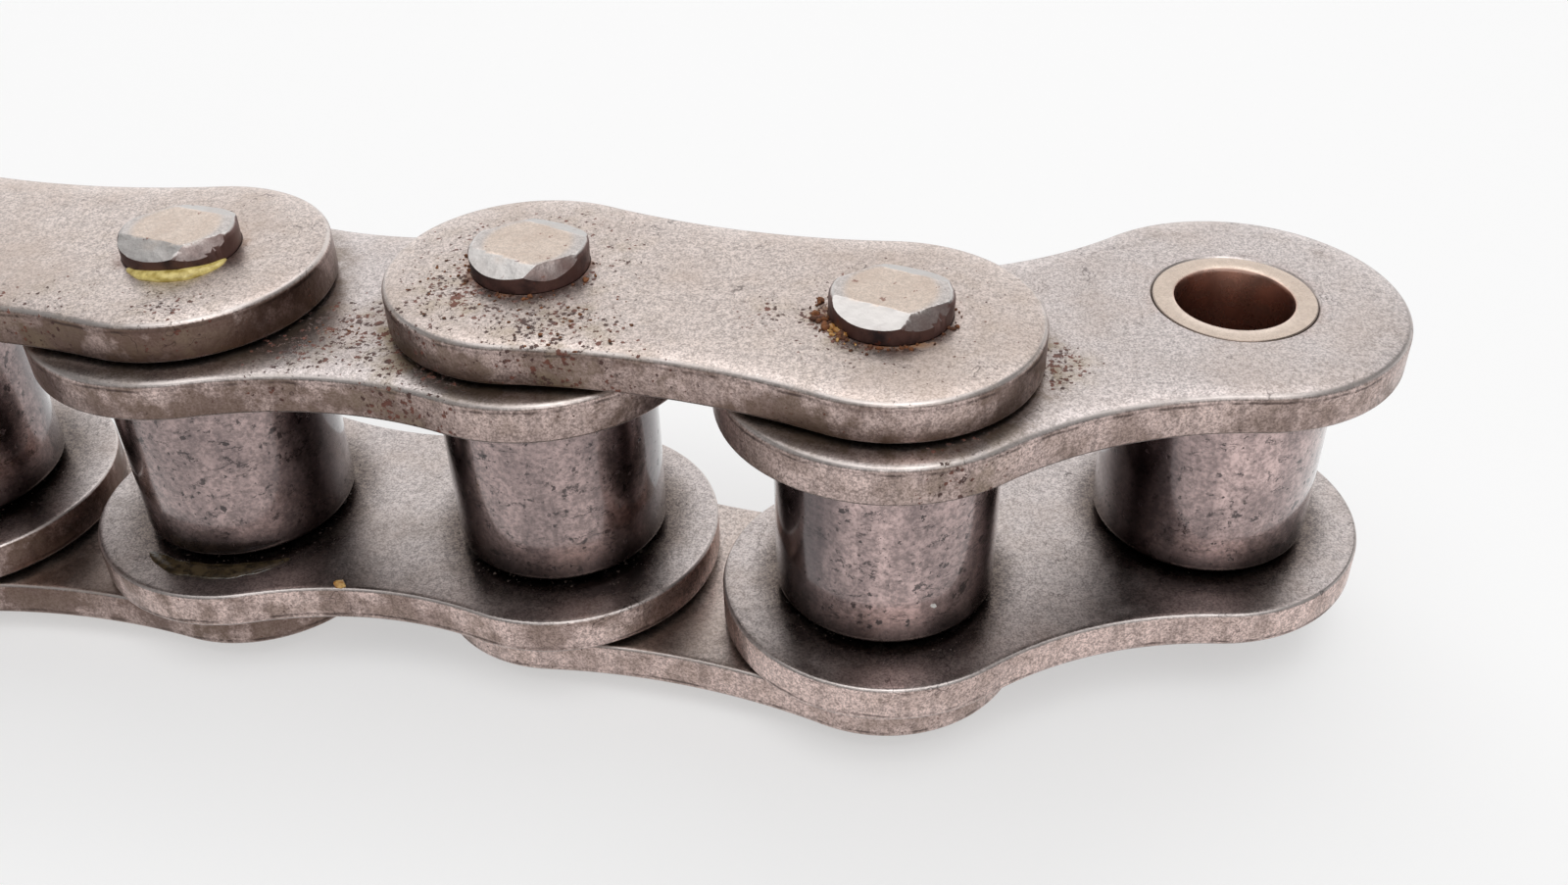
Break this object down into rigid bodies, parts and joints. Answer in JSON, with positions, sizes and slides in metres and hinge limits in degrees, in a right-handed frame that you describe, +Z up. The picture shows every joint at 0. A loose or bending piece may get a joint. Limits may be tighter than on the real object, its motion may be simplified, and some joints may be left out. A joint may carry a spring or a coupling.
{
  "type": "roller chain length",
  "caption": "Length of heavy riveted steel roller chain: waisted inner and outer link plates on bushes, free rollers and pins, every link free to turn, open bush at each end.",
  "frame": {"origin": "centre of the lower end face of the pin joining inner_link_2 to outer_link_1, on the surface the chain lies on", "axes": "+X along the chain towards its free end, +Z up along the pins"},
  "size_m": [0.1955, 0.0454, 0.0327],
  "materials": {
    "inner_plate_steel": "satin shot-peened, light surface rust and oil",
    "outer_plate_steel": "satin shot-peened, rust specks",
    "bush_steel": "ground end face",
    "roller_steel": "dark oily patina",
    "pin_steel": "peened heads, dark oxide sides"
  },
  "bodies": {
    "inner_link_1": {"inner_link_1_upper_plate": "inner_plate_steel", "inner_link_1_lower_plate": "inner_plate_steel", "inner_link_1_right_bush": "bush_steel", "inner_link_1_left_bush": "bush_steel"},
    "outer_link_1": {"outer_link_1_upper_plate": "outer_plate_steel", "outer_link_1_lower_plate": "outer_plate_steel", "outer_link_1_right_pin": "pin_steel", "outer_link_1_left_pin": "pin_steel"},
    "inner_link_2": {"inner_link_2_upper_plate": "inner_plate_steel", "inner_link_2_lower_plate": "inner_plate_steel", "inner_link_2_right_bush": "bush_steel", "inner_link_2_left_bush": "bush_steel"},
    "outer_link_2": {"outer_link_2_upper_plate": "outer_plate_steel", "outer_link_2_lower_plate": "outer_plate_steel", "outer_link_2_right_pin": "pin_steel", "outer_link_2_left_pin": "pin_steel"},
    "inner_link_3": {"inner_link_3_upper_plate": "inner_plate_steel", "inner_link_3_lower_plate": "inner_plate_steel", "inner_link_3_right_bush": "bush_steel", "inner_link_3_left_bush": "bush_steel"},
    "outer_link_3": {"outer_link_3_upper_plate": "outer_plate_steel", "outer_link_3_lower_plate": "outer_plate_steel", "outer_link_3_right_pin": "pin_steel", "outer_link_3_left_pin": "pin_steel"},
    "inner_link_4": {"inner_link_4_upper_plate": "inner_plate_steel", "inner_link_4_lower_plate": "inner_plate_steel", "inner_link_4_right_bush": "bush_steel", "inner_link_4_left_bush": "bush_steel"},
    "inner_link_1_right_roller": {"inner_link_1_right_roller": "roller_steel"},
    "inner_link_1_left_roller": {"inner_link_1_left_roller": "roller_steel"},
    "inner_link_2_right_roller": {"inner_link_2_right_roller": "roller_steel"},
    "inner_link_2_left_roller": {"inner_link_2_left_roller": "roller_steel"},
    "inner_link_3_right_roller": {"inner_link_3_right_roller": "roller_steel"},
    "inner_link_3_left_roller": {"inner_link_3_left_roller": "roller_steel"},
    "inner_link_4_right_roller": {"inner_link_4_right_roller": "roller_steel"},
    "inner_link_4_left_roller": {"inner_link_4_left_roller": "roller_steel"}
  },
  "joints": [
    {"name": "link_inner_1_turn", "type": "hinge", "parent": "outer_link_1", "child": "inner_link_1", "pos_m": [0.0251, -0.00389, 0.01634], "axis": [0, 0, 1], "range_deg": [-92, 28]},
    {"name": "link_outer_1_turn", "type": "hinge", "parent": "inner_link_2", "child": "outer_link_1", "pos_m": [0, 0, 0.01634], "axis": [0, 0, 1], "range_deg": [-51.2, 68.8]},
    {"name": "link_outer_2_turn", "type": "hinge", "parent": "inner_link_2", "child": "outer_link_2", "pos_m": [-0.0254, 0, 0.01634], "axis": [0, 0, 1], "range_deg": [-58.3, 61.7]},
    {"name": "link_inner_3_turn", "type": "hinge", "parent": "outer_link_2", "child": "inner_link_3", "pos_m": [-0.05079, 0.00075, 0.01634], "axis": [0, 0, 1], "range_deg": [-89.7, 30.3]},
    {"name": "link_outer_3_turn", "type": "hinge", "parent": "inner_link_3", "child": "outer_link_3", "pos_m": [-0.07322, -0.01117, 0.01634], "axis": [0, 0, 1], "range_deg": [-42, 78]},
    {"name": "link_inner_4_turn", "type": "hinge", "parent": "outer_link_3", "child": "inner_link_4", "pos_m": [-0.09823, -0.01558, 0.01634], "axis": [0, 0, 1], "range_deg": [-44, 76]},
    {"name": "roller_1_right_spin", "type": "hinge", "parent": "inner_link_1", "child": "inner_link_1_right_roller", "pos_m": [0.04845, 0.00612, 0.01634], "axis": [0, 0, 1], "continuous": true},
    {"name": "roller_1_left_spin", "type": "hinge", "parent": "inner_link_1", "child": "inner_link_1_left_roller", "pos_m": [0.0251, -0.00389, 0.01634], "axis": [0, 0, 1], "continuous": true},
    {"name": "roller_2_right_spin", "type": "hinge", "parent": "inner_link_2", "child": "inner_link_2_right_roller", "pos_m": [0, 0, 0.01634], "axis": [0, 0, 1], "continuous": true},
    {"name": "roller_2_left_spin", "type": "hinge", "parent": "inner_link_2", "child": "inner_link_2_left_roller", "pos_m": [-0.0254, 0, 0.01634], "axis": [0, 0, 1], "continuous": true},
    {"name": "roller_3_right_spin", "type": "hinge", "parent": "inner_link_3", "child": "inner_link_3_right_roller", "pos_m": [-0.05079, 0.00075, 0.01634], "axis": [0, 0, 1], "continuous": true},
    {"name": "roller_3_left_spin", "type": "hinge", "parent": "inner_link_3", "child": "inner_link_3_left_roller", "pos_m": [-0.07322, -0.01117, 0.01634], "axis": [0, 0, 1], "continuous": true},
    {"name": "roller_4_right_spin", "type": "hinge", "parent": "inner_link_4", "child": "inner_link_4_right_roller", "pos_m": [-0.09823, -0.01558, 0.01634], "axis": [0, 0, 1], "continuous": true},
    {"name": "roller_4_left_spin", "type": "hinge", "parent": "inner_link_4", "child": "inner_link_4_left_roller", "pos_m": [-0.12349, -0.01293, 0.01634], "axis": [0, 0, 1], "continuous": true}
  ]
}
